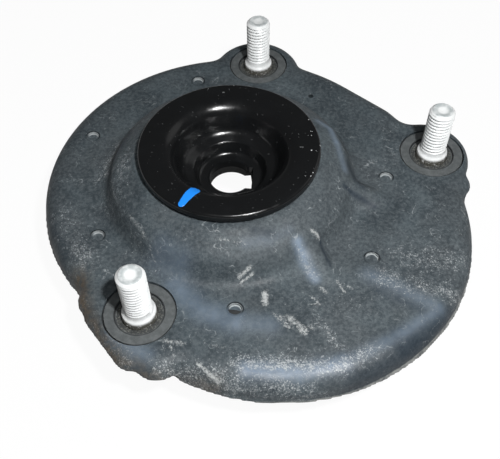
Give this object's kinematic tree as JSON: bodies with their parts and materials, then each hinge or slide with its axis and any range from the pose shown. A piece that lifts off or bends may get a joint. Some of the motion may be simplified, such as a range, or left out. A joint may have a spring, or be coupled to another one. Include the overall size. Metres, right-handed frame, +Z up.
{
  "type": "suspension strut top mount",
  "caption": "Suspension strut top mount: a rubber-covered plate with studs, a central bush with a black steel cup, and a thrust bearing under it for the spring.",
  "frame": {"origin": "on the axis of the rod hole, in the plane of the stud pads that meet the vehicle body", "axes": "+Z up along the studs and the rod, -Y towards the front stud's side, where the picture was taken from"},
  "size_m": [0.1719, 0.1794, 0.0546],
  "materials": {
    "coated_plate": "satin",
    "moulded_rubber": "satin",
    "zinc": "satin",
    "gloss_black": "gloss",
    "phosphated_steel": "matte",
    "bush_rubber": "matte",
    "housing_nylon": "matte",
    "bearing_steel": "polished",
    "cage_nylon": "matte",
    "seal_rubber": "matte",
    "pad_rubber": "matte"
  },
  "bodies": {
    "plate": {"mounting_plate": "coated_plate", "rubber_cover": "moulded_rubber", "stud_rear": "zinc", "stud_right": "zinc", "stud_front": "zinc", "isolator": "bush_rubber", "bush_outer_ring": "phosphated_steel", "bush_retainer": "coated_plate", "bearing_upper_housing": "housing_nylon", "upper_race": "bearing_steel"},
    "core": {"top_cup": "gloss_black", "core_shell": "phosphated_steel"},
    "rolling": {"ball_set": "bearing_steel", "ball_cage": "cage_nylon"},
    "spring_side": {"lower_race": "bearing_steel", "bearing_lower_housing": "housing_nylon", "inner_seal": "seal_rubber", "outer_seal": "seal_rubber", "spring_seat": "phosphated_steel", "spring_pad": "pad_rubber"}
  },
  "joints": [
    {"name": "core_travel", "type": "slide", "parent": "plate", "child": "core", "axis": [0, 0, 1], "range_m": [-0.0013, 0.003], "stiffness_N_per_m": 8000, "deforming": ["isolator"]},
    {"name": "bearing_spin", "type": "hinge", "parent": "plate", "child": "spring_side", "pos_m": [0, 0, -0.015], "axis": [0, 0, 1], "continuous": true},
    {"name": "cage_spin", "type": "hinge", "parent": "plate", "child": "rolling", "pos_m": [0, 0, -0.015], "axis": [0, 0, 1], "continuous": true}
  ],
  "couplings": [
    {"joint": "cage_spin", "follows": "bearing_spin", "ratio": 0.5}
  ]
}
